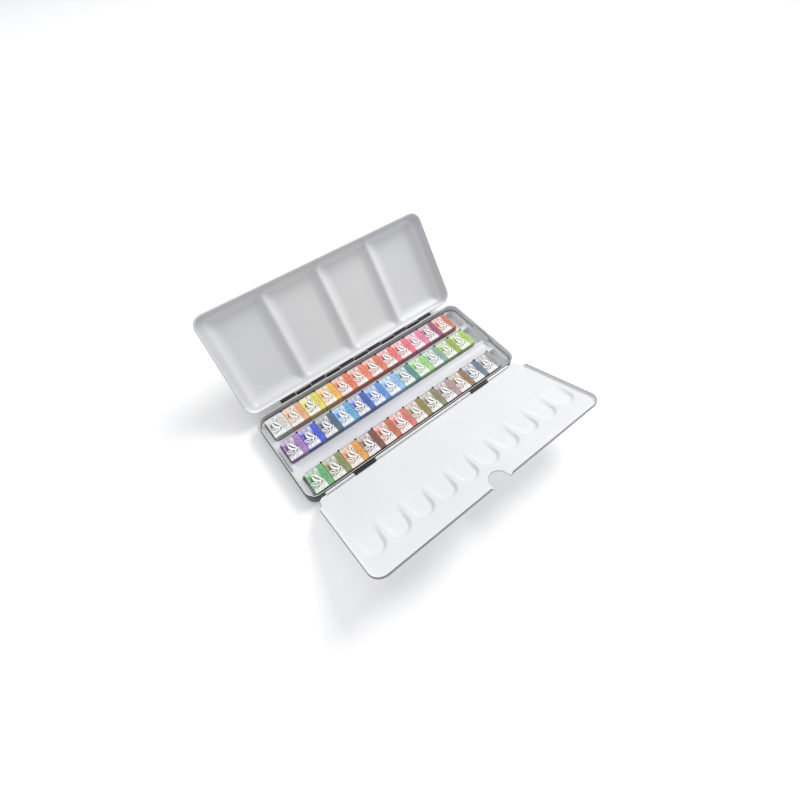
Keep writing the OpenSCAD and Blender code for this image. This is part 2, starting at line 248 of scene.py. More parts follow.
def flatProfile(bend, sheet):
    # section of a flat half-round edge, bend beyond the border, with as many points as a lip
    half, near = sheet / 2, 0.05
    return np.concatenate([
        np.stack([np.linspace(near, bend - half, 5), np.zeros(5)], axis=1),
        arc(bend - half, -half, half, 90, -90, 7),
        np.stack([np.linspace(bend - half, near, 6), np.full(6, -sheet)], axis=1)])


def knuckleRow(spans, radius, bore, leafLow, leafY, sheet):
    # hinge knuckles along X: a chamfered tube section carried round a circle, and beside each the
    # flat leaf that it is curled from
    chamfer, around = 0.12, 32
    a = np.linspace(0, 2 * math.pi, around, endpoint=False)
    pointSets, faceSets, count = [], [], 0
    for x0, x1 in spans:
        section = np.array([[x0 + chamfer, bore], [x0, bore + chamfer],
                            [x0, radius - chamfer], [x0 + chamfer, radius],
                            [x1 - chamfer, radius], [x1, radius - chamfer],
                            [x1, bore + chamfer], [x1 - chamfer, bore]])
        tube = np.stack([np.broadcast_to(section[:, :1], (8, around)),
                         section[:, 1:] * np.cos(a), section[:, 1:] * np.sin(a)], axis=-1)
        ids = count + np.arange(8 * around).reshape(8, around)
        pointSets.append(tube.reshape(-1, 3))
        faceSets.append(gridFaces(np.concatenate([ids, ids[:1]]), closed=True))
        count += 8 * around
        leaf = np.array([[x, y, z] for z in (leafLow, leafLow + sheet)
                         for y in sorted((0, leafY)) for x in (x0, x1)], float)
        pointSets.append(leaf)
        faceSets.append(count + np.array([[0, 2, 3, 1], [4, 5, 7, 6], [0, 1, 5, 4],
                                          [2, 6, 7, 3], [0, 4, 6, 2], [1, 3, 7, 5]]))
        count += 8
    return np.concatenate(pointSets), np.concatenate(faceSets)


# materials, each noise sized in millimetres

def makeEnamel(name, look):
    # baked enamel on tinplate, sprayed and stoved: an even gloss over a faint orange peel, a trace
    # of tone from batch to batch, and duller patches where hands and rags have rubbed it
    material, tree, shader, place = startMaterial(name)
    tone = addNode(tree, "ShaderNodeTexNoise", {
        "Vector": place, "Scale": 1 / (look["toneSize"] * mm), "Detail": 2.0})
    tint = addNode(tree, "ShaderNodeValToRGB", {"Fac": tone.outputs["Fac"]},
                   stops=((0.3, look["low"]), (0.7, look["high"])))
    rub = addNode(tree, "ShaderNodeTexNoise", {
        "Vector": place, "Scale": 1 / (look["rubSize"] * mm), "Detail": 5.0})
    rough = addNode(tree, "ShaderNodeMapRange", {
        "Value": rub.outputs["Fac"], "From Min": 0.3, "From Max": 0.7,
        "To Min": look["rough"][0], "To Max": look["rough"][1]})
    peel = addNode(tree, "ShaderNodeTexNoise", {
        "Vector": place, "Scale": 1 / (look["peelSize"] * mm), "Detail": 1.0})
    bump = addNode(tree, "ShaderNodeBump", {
        "Height": peel.outputs["Fac"], "Strength": look["peelStrength"], "Distance": 0.05 * mm})
    setInputs(tree, shader, {
        "Base Color": tint.outputs["Color"], "Roughness": rough.outputs["Result"],
        "Normal": bump.outputs["Normal"], "IOR": 1.52})
    return material


def makeSteel(name, look):
    # drawn or rolled steel: fine lines along X, coarser than real so that they show
    material, tree, shader, place = startMaterial(name)
    stretch = addNode(tree, "ShaderNodeMapping", {"Vector": place, "Scale": (0.04, 1, 1)})
    lines = addNode(tree, "ShaderNodeTexNoise", {
        "Vector": stretch.outputs["Vector"], "Scale": 1 / (look["lineSize"] * mm), "Detail": 3.0})
    tint = addNode(tree, "ShaderNodeValToRGB", {"Fac": lines.outputs["Fac"]},
                   stops=((0, look["low"]), (1, look["high"])))
    rough = addNode(tree, "ShaderNodeMapRange", {
        "Value": lines.outputs["Fac"], "To Min": look["rough"][0], "To Max": look["rough"][1]})
    bump = addNode(tree, "ShaderNodeBump", {
        "Height": lines.outputs["Fac"], "Strength": 0.15, "Distance": 0.02 * mm})
    setInputs(tree, shader, {
        "Base Color": tint.outputs["Color"], "Roughness": rough.outputs["Result"],
        "Normal": bump.outputs["Normal"], "Metallic": 1.0})
    return material


def makePaper(name, look):
    # coated label paper, offset printed: the ink comes from the vertex colours, which carry painted
    # shade on the sleeves' sides and ends, over fibres of about 0.4 mm that break the satin sheen
    material, tree, shader, place = startMaterial(name)
    ink = addNode(tree, "ShaderNodeVertexColor", layer_name="inkAndPaintedShade")
    fibre = addNode(tree, "ShaderNodeTexNoise", {
        "Vector": place, "Scale": 1 / (look["fibre"] * mm), "Detail": 4.0})
    mottle = addNode(tree, "ShaderNodeMapRange", {
        "Value": fibre.outputs["Fac"],
        "To Min": 1 - look["mottle"], "To Max": 1 + look["mottle"]})
    shade = addNode(tree, "ShaderNodeMix", {
        "Factor": 1.0, "A": ink.outputs["Color"], "B": mottle.outputs["Result"]},
        data_type="RGBA", blend_type="MULTIPLY")
    rough = addNode(tree, "ShaderNodeMapRange", {
        "Value": fibre.outputs["Fac"], "To Min": look["rough"][0], "To Max": look["rough"][1]})
    bump = addNode(tree, "ShaderNodeBump", {
        "Height": fibre.outputs["Fac"], "Strength": look["relief"], "Distance": 0.03 * mm})
    setInputs(tree, shader, {
        "Base Color": shade.outputs["Result"], "Roughness": rough.outputs["Result"],
        "Normal": bump.outputs["Normal"], "IOR": 1.48})
    return material


def makePlastic(name, look):
    # injection-moulded polystyrene: even colour with a faint flow tone and a soft mould texture
    material, tree, shader, place = startMaterial(name)
    flow = addNode(tree, "ShaderNodeTexNoise", {
        "Vector": place, "Scale": 1 / (look["flow"] * mm), "Detail": 2.0})
    tint = addNode(tree, "ShaderNodeValToRGB", {"Fac": flow.outputs["Fac"]},
                   stops=((0, look["low"]), (1, look["high"])))
    grain = addNode(tree, "ShaderNodeTexNoise", {
        "Vector": place, "Scale": 1 / (look["grain"] * mm)})
    bump = addNode(tree, "ShaderNodeBump", {
        "Height": grain.outputs["Fac"], "Strength": 0.1, "Distance": 0.02 * mm})
    setInputs(tree, shader, {
        "Base Color": tint.outputs["Color"], "Roughness": 0.35,
        "Normal": bump.outputs["Normal"], "IOR": 1.59})
    return material


def makePaint(name, look):
    # pressed watercolour cake: pigment in gum, matt with small glossy gum patches and fine pits
    material, tree, shader, place = startMaterial(name)
    ink = addNode(tree, "ShaderNodeVertexColor", layer_name="inkAndPaintedShade")
    gum = addNode(tree, "ShaderNodeTexNoise", {
        "Vector": place, "Scale": 1 / (look["gum"] * mm), "Detail": 3.0})
    shade = addNode(tree, "ShaderNodeMapRange", {
        "Value": gum.outputs["Fac"], "To Min": look["shade"][0], "To Max": look["shade"][1]})
    body = addNode(tree, "ShaderNodeMix", {
        "Factor": 1.0, "A": ink.outputs["Color"], "B": shade.outputs["Result"]},
        data_type="RGBA", blend_type="MULTIPLY")
    rough = addNode(tree, "ShaderNodeMapRange", {
        "Value": gum.outputs["Fac"], "To Min": look["rough"][0], "To Max": look["rough"][1]})
    pits = addNode(tree, "ShaderNodeTexNoise", {
        "Vector": place, "Scale": 1 / (look["pit"] * mm), "Detail": 4.0})
    bump = addNode(tree, "ShaderNodeBump", {
        "Height": pits.outputs["Fac"], "Strength": 0.5, "Distance": 0.1 * mm})
    setInputs(tree, shader, {
        "Base Color": body.outputs["Result"], "Roughness": rough.outputs["Result"],
        "Normal": bump.outputs["Normal"]})
    return material


whiteEnamel = makeEnamel("whiteStovedEnamel", dict(
    low="#e9eaec", high="#efefef", toneSize=60, rubSize=14, rough=(0.3, 0.42),
    peelSize=2.2, peelStrength=0.12))
holderEnamel = makeEnamel("whiteStovedEnamelThin", dict(
    low="#dcdde2", high="#e6e6ea", toneSize=40, rubSize=10, rough=(0.3, 0.42),
    peelSize=2.0, peelStrength=0.12))
blackEnamel = makeEnamel("blackStovedEnamel", dict(
    low="#1d1e21", high="#26272a", toneSize=50, rubSize=9, rough=(0.22, 0.4),
    peelSize=1.8, peelStrength=0.25))
wireSteel = makeSteel("drawnWireSteel", dict(
    low="#8d9095", high="#c3c5c9", lineSize=0.3, rough=(0.22, 0.4)))
# spring strips: dark grey for the steel and as painted shade between the pans
springSteel = makeSteel("darkSteelAndPaintedShade", dict(
    low="#2b2d31", high="#4a4d52", lineSize=0.4, rough=(0.3, 0.5)))
# the flap lip's cut edge: grey bare metal, coloured darker as painted shade of the flap's outline
bareEdgeAndShade = makeSteel("bareEdgeAndPaintedShade", dict(
    low="#85878b", high="#a5a7ab", lineSize=0.5, rough=(0.35, 0.55)))
labelPaper = makePaper("coatedLabelPaper", dict(
    fibre=0.4, mottle=0.05, rough=(0.34, 0.55), relief=0.25))
cupPlastic = makePlastic("mouldedPolystyreneCup", dict(
    low="#ecebe6", high="#f6f5f1", flow=6, grain=0.5))
paintCake = makePaint("pressedGumPaint", dict(
    gum=2.5, pit=0.35, shade=(0.6, 1.15), rough=(0.75, 0.3)))
print("materials made")


# the tin: a drawn tray with a row of knuckles behind and two in front

tin = dict(width=216.2, depth=86.2, height=13, sheet=0.6, corner=9, bend=1.8, bead=0.55,
           rowStep=4, columnStep=2, core=90,
           frontDrop=1.5, frontSpan=104.2, frontStep=1.2,  # the wall is lower in front
           axisBack=(44.7, 13.1), axisFront=(-44.7, 11.3),  # y and z of the hinge lines
           knuckle=1.1, bore=0.62, leaf=1.9, gap=0.9,
           backPitch=14.93, backCount=11, frontKnuckles=((-70, -50), (50, 70)),
           whiteRings=15)  # the white inside runs over the bead as far as its top


def makeTin():
    # flat floor, then bend, wall and bead carried round a rounded rectangle; along the front the
    # wall's top is lowered by a smooth step at each end
    t = tin
    half, high = t["width"] / 2 - t["bend"], t["depth"] / 2 - t["bend"]
    radius = t["corner"] - t["bend"]
    rows = cornerSteps(-high, high, radius, t["rowStep"])
    columns = cornerSteps(-half, half, radius, t["columnStep"])
    x, v = squeezedGrid(columns, rows, roundedHalfWidth(rows, -high, high, half, radius), t["core"])
    loop = borderLoop(*x.shape)
    alongX, alongV = np.abs(x.ravel()[loop]), v.ravel()[loop]
    step = smoothStep(t["frontSpan"] - t["frontStep"], t["frontSpan"], alongX)
    drop = t["frontDrop"] * (1 - step) * (alongV < 0)
    profile = drawnProfile(t["bend"], t["height"] - t["sheet"], t["bead"], t["sheet"])
    profile = np.repeat(profile[:, None], len(loop), axis=1)
    profile[..., 1] -= drop * (profile[..., 1] > t["height"] / 2)
    points, faces, ring = pressedSheet(x, v, np.full(x.shape, t["sheet"]), np.zeros(x.shape),
                                       profile)
    shell = makePiece("tinTray", points, faces, [whiteEnamel, blackEnamel],
                      ring >= t["whiteRings"])
    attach(shell, "tray")
    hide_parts("base_tray")


def shortened(spans):
    # each span less half a gap at both ends
    return [(a + tin["gap"] / 2, b - tin["gap"] / 2) for a, b in spans]


def backSpans(first):
    # every second knuckle of the back row: knuckle i starts (i - count / 2) pitches from the middle
    starts = [(i - tin["backCount"] / 2) * tin["backPitch"] + tin["gap"] / 2
              for i in range(first, tin["backCount"], 2)]
    return [(s, s + tin["backPitch"] - tin["gap"]) for s in starts]


def makeKnuckles(name, body, material, spans, bore, leafLow, leafY, axis, turn=0):
    # a row of knuckles, turned about its own hinge line with the part that carries it
    points, faces = knuckleRow(spans, tin["knuckle"], bore, leafLow, leafY, tin["sheet"])
    piece = makePiece(name, turnAboutX(points, axis, turn), faces, [material], sharpAngle=30)
    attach(piece, body)


makeTin()
makeKnuckles("tinKnucklesBack", "tray", blackEnamel, backSpans(1),
             tin["bore"], -tin["knuckle"], -tin["leaf"], tin["axisBack"])
makeKnuckles("tinKnucklesFront", "tray", blackEnamel,
             shortened(tin["frontKnuckles"]), tin["bore"], -tin["knuckle"], tin["leaf"],
             tin["axisFront"])
print("tin made")


# the lid palette

lid = dict(width=218, near=1.6, far=89.6, corner=9.5, bend=2, rise=5.7, sheet=0.6, bead=0.55,
           border=-5.9, openAngle=129.5, step=0.85, core=96,
           wells=4, marginX=7.4, marginNear=3.5, marginFar=5.1, ridge=2.0, depth=4.2,
           fillet=9.6, soft=0.35, wellCorner=4.5,
           farStretch=0.6, farReach=6,  # the fillet is 1.6 times shorter over the last 6 mm
           bore=0.66, leafLow=0.7, leaf=1.9, whiteRings=18)


def makeLid():
    # v runs from the hinge line to the free edge and h stands off the paint side. A well's depth is
    # 1 - (1 - t)^2 of the distance t inside its rounded outline: steep at the ridge, then a wide
    # fillet, which the stretched v shortens along the free edge
    p = lid
    low, high, half = p["near"] + p["bend"], p["far"] - p["bend"], p["width"] / 2 - p["bend"]
    radius = p["corner"] - p["bend"]
    rows = cornerSteps(low, high, radius, p["step"])
    columns = cornerSteps(-half, half, radius, p["step"])
    x, v = squeezedGrid(columns, rows, roundedHalfWidth(rows, low, high, half, radius), p["core"])
    pitch = (p["width"] - 2 * p["marginX"] + p["ridge"]) / p["wells"]
    start, end = p["near"] + p["marginNear"], p["far"] - p["marginFar"]
    stretched = v + p["farStretch"] * np.maximum(0, v - end + p["farReach"])
    stretchedEnd = end + p["farStretch"] * p["farReach"]
    height = np.full(x.shape, float(p["border"]))
    for i in range(p["wells"]):
        left = -p["width"] / 2 + p["marginX"] + i * pitch
        inside = -boxDistance(x, stretched, (left, start),
                              (left + pitch - p["ridge"], stretchedEnd), p["wellCorner"])
        t = (inside + np.sqrt(inside ** 2 + p["soft"] ** 2)) / 2 / p["fillet"]
        height -= p["depth"] * (1 - (1 - np.minimum(t, 1)) ** 2)
    points, faces, ring = pressedSheet(x, v, height, height - p["sheet"],
                                       drawnProfile(p["bend"], p["rise"], p["bead"], p["sheet"]))
    sheet = makePiece("lidPalette", turnAboutX(points, tin["axisBack"], 180 - p["openAngle"]),
                      faces, [whiteEnamel, blackEnamel], ring >= p["whiteRings"])
    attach(sheet, "lid")
    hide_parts("lid_palette")


makeLid()
makeKnuckles("lidKnuckles", "lid", blackEnamel, backSpans(0), lid["bore"],
             lid["leafLow"], -lid["leaf"], tin["axisBack"], -lid["openAngle"])
print("lid made")


# the fold-out palette

flap = dict(width=212.6, depth=86, corner=10, sheet=0.6, top=-0.7, openAngle=157.9,
            step=0.85, core=96,
            neck=206, neckCorner=4.5, shoulder=(7, 9.5), shoulderRows=(6.5, 10.5),
            lip=3, bend=1.2, lipStart=(8.5, 12),
            wells=10, pitch=20.4, wellStart=45, wellEnd=69.6, wellDepth=2.8,
            tailHalf=9.9, endHalf=7.9, wall=1.9, wellSoft=0.25,
            notchRadius=7.1, notchDepth=81.7, notchFrom=71, notchBand=12, notchFade=2.2,
            knuckles=((-96, -70), (-50, 50), (70, 96)), bore=0.66, leafLow=0.7, leaf=1.9,
            room=(49.4, 70.6), roomDepth=1.9, roomReach=8,  # cut back round the tin's knuckles
            edgeAndShadeRings=(6, 13))  # rings of the lip's half-round cut edge and outer face, in painted shade over bare metal


def fingerWells(x, d, p):
    # ten scoops: each floor ramps down towards its round end, and its walls are a rounded ramp of
    # the distance inside a U that narrows towards that end
    middle = (p["wells"] - 1) / 2
    i = np.clip(np.round(x / p["pitch"] + middle), 0, p["wells"] - 1)
    u = x - (i - middle) * p["pitch"]
    along = (d - p["wellStart"]) / (p["wellEnd"] - p["wellStart"])
    centre = p["wellEnd"] - p["endHalf"]
    back = np.clip((centre - d) / (centre - p["wellStart"]), 0, 1)
    half = p["endHalf"] + (p["tailHalf"] - p["endHalf"]) * back ** 1.3
    inside = np.where(d < centre, half - np.abs(u), p["endHalf"] - np.hypot(u, d - centre))
    floor = np.clip(along, 0, 1) ** 0.85
    return p["wellDepth"] * floor * softClip(inside / p["wall"], p["wellSoft"])


def makeFlap():
    # d runs from the hinge line to the free edge, and v = -d so that x, v, h stay right-handed
    p = flap
    b = p["bend"]
    half, neckHalf, end = p["width"] / 2 - b, p["neck"] / 2 - b, p["depth"] - b
    freeR, neckR, notchR = p["corner"] - b, p["neckCorner"] - b, p["notchRadius"] + b
    d = np.unique(np.round(np.concatenate([
        b + neckR * (1 - np.cos(np.linspace(0, math.pi / 2, 6))),
        np.arange(b + neckR, end - freeR, p["step"]),
        np.linspace(*p["shoulderRows"], 9),
        end - freeR + freeR * cornerRise]), 4))
    width = roundedHalfWidth(d, -noCorner, end, half, freeR)
    neckWidth = roundedHalfWidth(d, b, noCorner, neckHalf, neckR)
    width = neckWidth + (width - neckWidth) * smoothStep(*p["shoulder"], d)
    roomLow, roomHigh = p["room"]
    columns = np.unique(np.round(np.concatenate([
        np.arange(0, half, p["step"]), [half],
        notchR * np.cos(np.linspace(0, math.pi, 19)), [notchR + 0.05],
        [roomLow - 0.1, roomLow, roomHigh, roomHigh + 0.1],
        np.linspace(half - 2, half, 4)]), 4))
    columns = np.unique(np.concatenate([-columns, columns]))
    x, v = squeezedGrid(columns, -d[::-1], width[::-1], p["core"])
    d = -v
    # rows are pushed back near the hinge in the rooms, and near the free edge in the notch
    across = np.abs(columns)
    notch = p["notchDepth"] - np.sqrt(np.maximum(notchR ** 2 - columns ** 2, 0))
    free = np.where(across <= notchR, notch, end)
    room = np.where((across >= roomLow) & (across <= roomHigh), p["roomDepth"], 0)
    d = d + room * (1 - np.clip((d - b) / p["roomReach"], 0, 1)) \
        + (free - end) * np.clip((d - p["notchFrom"]) / (end - p["notchFrom"]), 0, 1)
    height = p["top"] - fingerWells(x, d, p)
    # the lip rises past the neck and fades on both sides of the notch
    lip, flat = lipProfile(b, p["lip"] - p["sheet"], p["sheet"]), flatProfile(b, p["sheet"])
    loop = borderLoop(*x.shape)
    loopX, loopD = np.abs(x.ravel()[loop]), d.ravel()[loop]
    besideNotch = smoothStep(notchR, notchR + p["notchFade"], loopX)
    lipped = smoothStep(*p["lipStart"], loopD) * np.where(loopD > end - p["notchBand"],
                                                          besideNotch, 1.0)
    profile = flat[:, None] + (lip - flat)[:, None] * lipped[None, :, None]
    points, faces, ring = pressedSheet(x, -d, height, height - p["sheet"], profile)
    # the lip's edge rings take the grey edge finish: bare metal and painted shade
    cutEdgeAndShade = (ring >= p["edgeAndShadeRings"][0]) & (ring < p["edgeAndShadeRings"][1])
    sheet = makePiece("foldOutPalette", turnAboutX(points, tin["axisFront"], p["openAngle"] - 180),
                      faces, [whiteEnamel, bareEdgeAndShade], cutEdgeAndShade)
    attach(sheet, "flap")
    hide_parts("flap_palette")


makeFlap()
makeKnuckles("foldOutKnuckles", "flap", whiteEnamel, shortened(flap["knuckles"]),
             flap["bore"], flap["leafLow"], flap["leaf"], tin["axisFront"], flap["openAngle"])
print("fold-out palette made")


# the pan holder

holder = dict(width=213.2, depth=83.2, corner=8, top=7, floor=1.4, sheet=0.5, edge=0.5,
              rowStep=1.5, columnStep=3, core=96, left=-102.6, right=103,
              troughs=((-41, -20.4), (-6.7, 14), (18.5, 39.1)),
              troughCorner=2, wall=0.3, wallSoft=0.12,
              rail=6, railEnd=2, railSide=1, railCorner=0.5, railWall=0.6, railSoft=0.2,
              brushDip=1.4, brushEdge=1.1, brushEnd=1.2)
tab = dict(x=104.6, span=(-12, 9.5), top=11.4, corner=3, edge=0.25, core=6)


def thinned(steps, least):
    # sorted steps without those that follow the one before by least or less
    steps = np.unique(np.round(steps, 4))
    return steps[np.concatenate([[True], np.diff(steps) > least])]


def wallSteps(edges, low, high, step):
    # even steps with a dense bunch of rows at each wall
    near = np.array([-1.2, -0.7, -0.45, -0.3, -0.15, 0, 0.15, 0.3, 0.45, 0.7, 1.2])
    steps = np.concatenate([np.linspace(low, high, int((high - low) / step))]
                           + [e + near for e in edges])
    steps = np.round(steps, 4)
    return thinned(steps[(steps >= low) & (steps <= high)], 0.04)


def makeHolder():
    # plate with three troughs, each a steep rounded ramp of the distance inside its outline; from
    # the front, a parabolic hollow lies between the first two and a lower rail between the last two
    p = holder
    e, left, right, troughs = p["edge"], p["left"], p["right"], p["troughs"]
    half, high, radius = p["width"] / 2 - e, p["depth"] / 2 - e, p["corner"] - e
    corner = cornerSteps(-high, high, radius, high)
    rows = thinned(np.concatenate([
        wallSteps([y for t in troughs for y in t], -high, high, p["rowStep"]),
        corner[:9], corner[-9:]]), 0.02)
    columns = wallSteps([left, right], -half, half, p["columnStep"])
    x, v = squeezedGrid(columns, rows, roundedHalfWidth(rows, -high, high, half, radius), p["core"])

    hollow = (troughs[0][1] + p["brushEdge"], troughs[1][0] - p["brushEdge"])
    across = (v - sum(hollow) / 2) / ((hollow[1] - hollow[0]) / 2)
    base = p["top"] - p["brushDip"] * np.clip(1 - across ** 2, 0, 1) \
        * smoothStep(0, p["brushEnd"], x - left) * smoothStep(0, p["brushEnd"], right - x)
    railBox = boxDistance(x, v, (left + p["railEnd"], troughs[1][1] - p["railSide"]),
                          (right - p["railEnd"], troughs[2][0] + p["railSide"]), p["railCorner"])
    base -= (p["top"] - p["rail"]) * softClip(-railBox / p["railWall"], p["railSoft"])

    def dished(grow, drop):
        # the base lowered to the floor inside each trough's outline, which grows by grow
        surface = base - drop
        for y0, y1 in troughs:
            inside = -boxDistance(x, v, (left, y0), (right, y1), p["troughCorner"]) + grow
            ramp = softClip(inside / p["wall"], p["wallSoft"])
            surface = surface + (p["floor"] - drop - surface) * ramp
        return surface

    points, faces, _ = pressedSheet(x, v, dished(0, 0), dished(p["sheet"], p["sheet"]),
                                    flatProfile(e, p["sheet"]))
    plate = makePiece("panHolder", points, faces, [holderEnamel], sharpAngle=50)
    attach(plate, "holder")
    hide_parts("pan_holder")


def makeTabs():
    # lifting tabs: a flat tongue with a rounded top, bent up from each end of the holder
    s, edge, tall, corner = holder["sheet"], tab["edge"], tab["top"], tab["corner"]
    rows = np.concatenate([np.linspace(holder["top"] - s + 0.1, tall - corner, 5)[:-1],
                           tall - corner + (corner - edge) * cornerRise])
    wide = (tab["span"][1] - tab["span"][0]) / 2 - edge
    y, z = squeezedGrid(np.linspace(-wide, wide, 25), rows,
                        roundedHalfWidth(rows, -noCorner, tall - edge, wide, corner - edge),
                        tab["core"])
    for side, start in (("Left", -tab["x"] - s), ("Right", tab["x"])):
        points, faces, _ = pressedSheet(y, z, np.full(y.shape, start + s),
                                        np.full(y.shape, start), flatProfile(edge, s))
        points = points[:, [2, 0, 1]] + np.array([0, sum(tab["span"]) / 2, 0])
        tongue = makePiece("holderTab" + side, points, faces, [holderEnamel])
        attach(tongue, "holder")


makeHolder()
makeTabs()
print("holder made")


# the wires and spring strips keep their own shape and get a finish

def coat(nodes, material):
    # one material over the whole of each node
    for node in nodes:
        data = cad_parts[node].data
        data.materials.clear()
        data.materials.append(material)


coat(["back_hinge_pin", "front_hinge_pin"], wireSteel)
coat(["clip_strip_back", "clip_strip_middle", "clip_strip_front"], springSteel)
print("wires and strips coated")


# the pans: ground colour of the picture, colour of the strip beside it

inks = {
    "neutral_tint": ("#d9d9d2", "#e6e6e0"), "peach": ("#f7b98a", "#efb48c"),
    "lemon_yellow": ("#f4ea5c", "#eee36a"), "deep_yellow": ("#fbbb45", "#f9c25a"),
    "coral": ("#f5805f", "#ee8566"), "vermilion": ("#f7805c", "#f78e72"),
    "cadmium_red": ("#f57350", "#e88565"), "scarlet": ("#ee6a66", "#f5807f"),
    "carmine": ("#f06e7c", "#f2808a"), "rose_pink": ("#f47fae", "#f08bb0"),
    "magenta": ("#c05f86", "#a85a7c"), "terracotta": ("#e5805f", "#d5826a"),
    "violet": ("#8b57b0", "#b48ac8"), "blue_violet": ("#3a3fd0", "#4c66e0"),
    "indigo": ("#5b7488", "#557186"), "sky_blue": ("#58a8ee", "#6fb2d8"),
    "ultramarine": ("#4f74d8", "#4a66b4"), "cobalt_blue": ("#5590ea", "#6a94dd"),
    "light_blue": ("#82bdf2", "#9cc4ee"), "turquoise": ("#6fb0b8", "#5f9097"),
    "bright_green": ("#84d35e", "#a6dc84"), "celadon": ("#9cbcae", "#8ab0a4"),
    "moss_green": ("#a6c85a", "#9cb25a"), "yellow_green": ("#a5c94e", "#aed062"),
    "leaf_green": ("#63b368", "#74bd80"), "dark_olive": ("#8d9150", "#8f9866"),
    "ochre": ("#e59a4c", "#eda958"), "red_brown": ("#99695f", "#80564c"),
    "burnt_sienna": ("#e0714f", "#c9775a"), "coral_red": ("#e57368", "#e07f72"),
    "olive_ochre": ("#b3955f", "#97854f"), "grey_umber": ("#968a6c", "#8d8a6a"),
    "mauve_brown": ("#9d6f7c", "#b598a0"), "chestnut": ("#a8845c", "#94704e"),
    "dark_blue": ("#7a8694", "#5e7488"), "ivory_black": ("#85898a", "#9a9e98")}
pan = dict(width=15.8, depth=19, height=10, paper=0.2, fold=0.5, step=0.25, wave=0.05)
cup = dict(side=0.2, end=0.3, drop=0.6, wall=0.9, inset=0.6, corner=0.8, step=4, core=4)
cake = dict(below=0.8, crown=0.35, lift=0.1, tone=0.6)
sprig = dict(paper="#fcfbf8", strip=10.9, rules=(12.0, 13.1, 14.2),
             shadow=(3.0, 11.0, 1.9, 2.9),  # centre and half sizes of the dark patch
             dots=(1.4, 1.2, 2.4, 0.3),  # start, height, pitch and radius
             ring=(6.9, 17.2, 0.8, 0.2),  # centre, radius and half width
             leaves=((6.3, 10.6, 118, 9.6, 2.5), (2.7, 7.7, 158, 5.2, 1.5),  # centre, angle,
                     (8.3, 5.5, 38, 5.6, 1.8), (4.1, 4.0, 196, 6.0, 1.5),  # length and
                     (8.7, 13.9, 80, 4.6, 1.2)))  # half width


def mixed(under, over, amount):
    # under + (over - under) times the amount, which is held between 0 and 1
    return under + (over - under) * np.clip(amount, 0, 1)[..., None]


def printLeaf(ink, x, y, leaf, paper, dark):
    # white leaf, half * (1 - (2a / length)^2)^0.8 wide on a bowed midline, a along it and b across:
    # a dark rim and veins on one side, and a midrib that thins towards both ends
    cx, cy, angle, length, half = leaf
    c, s = math.cos(math.radians(angle)), math.sin(math.radians(angle))
    a, b = (x - cx) * c + (y - cy) * s, -(x - cx) * s + (y - cy) * c
    b = b + 0.05 * a ** 2 - 0.2
    edge = half * np.clip(1 - (2 * a / length) ** 2, 0, 1) ** 0.8 - np.abs(b)
    within = np.abs(a) < length / 2
    ink = mixed(ink, dark, 0.8 * smoothStep(-0.55, -0.2, edge) * within * (b < 0))
    ink = mixed(ink, paper, smoothStep(-0.15, 0.15, edge) * within)
    width = 0.16 + 0.13 * half * np.clip(1 - np.abs(2 * a / length), 0, 1)
    midrib = (edge > 0.1) * (1 - smoothStep(width, width + 0.2, np.abs(b)))
    ink = mixed(ink, dark, midrib * (np.abs(a) < 0.36 * length))
    veins = np.abs((a - 1.2 * np.abs(b)) % 1.9 - 0.95) - 0.12
    return mixed(ink, dark, (edge > 0.45) * (b < 0) * (1 - smoothStep(0, 0.2, veins)) * 0.45)


def printTop(x, y, ground, strip, dark):
    # picture: ground colour fading to paper at the front and the back, a dark patch, the leaves, a
    # row of dots and a ring. strip: even colour with a fine outline and three broken rules. x and y
    # in mm from the front left corner
    paper = np.array(linearColor(sprig["paper"]))[:3]
    fade = np.maximum(1 - smoothStep(0.5, 7, y - 0.25 * (x - 4)),
                      0.6 * smoothStep(12.5, 18, y + 0.3 * (x - 5)))
    wash = 0.14 * np.sin(1.1 * x + 0.6 * y) * np.sin(0.7 * y - 0.4 * x)
    ink = mixed(np.broadcast_to(ground, (*x.shape, 3)), paper, 0.08 + 0.85 * fade + wash)
    cx, cy, halfX, halfY = sprig["shadow"]
    shadow = np.hypot((x - cx) / halfX, (y - cy) / halfY) + 0.3 * np.sin(3 * x) * np.sin(2 * y)
    ink = mixed(ink, dark, 0.8 * (1 - smoothStep(0.5, 1.05, shadow)))
    for leaf in sprig["leaves"]:
        ink = printLeaf(ink, x, y, leaf, paper, dark)
    start, rise, pitch, radius = sprig["dots"]
    dots = np.hypot((x - start) % pitch - pitch / 2, y - rise) - radius
    ink = mixed(ink, dark, (1 - smoothStep(-0.08, 0.08, dots)) * (x > 2) * (x < 9) * 0.8)
    cx, cy, radius, half = sprig["ring"]
    ring = np.abs(np.hypot(x - cx, y - cy) - radius) - half
    ink = mixed(ink, dark, (1 - smoothStep(-0.1, 0.1, ring)) * 0.8)
    ink = mixed(ink, strip, smoothStep(sprig["strip"] - 0.15, sprig["strip"] + 0.15, x))
    ink = mixed(ink, dark, (1 - smoothStep(0.1, 0.3, np.abs(x - sprig["strip"]))) * 0.45)
    for k, rule in enumerate(sprig["rules"]):
        broken = np.sin(y * 2.3 + k * 2.1) + np.sin(y * 1.37 + k) > -1.1
        line = (1 - smoothStep(0.16, 0.34, np.abs(x - rule))) * broken
        ink = mixed(ink, dark, 0.6 * line * (y > 3.5 + k) * (y < 16.5 - 1.5 * k))
    return ink


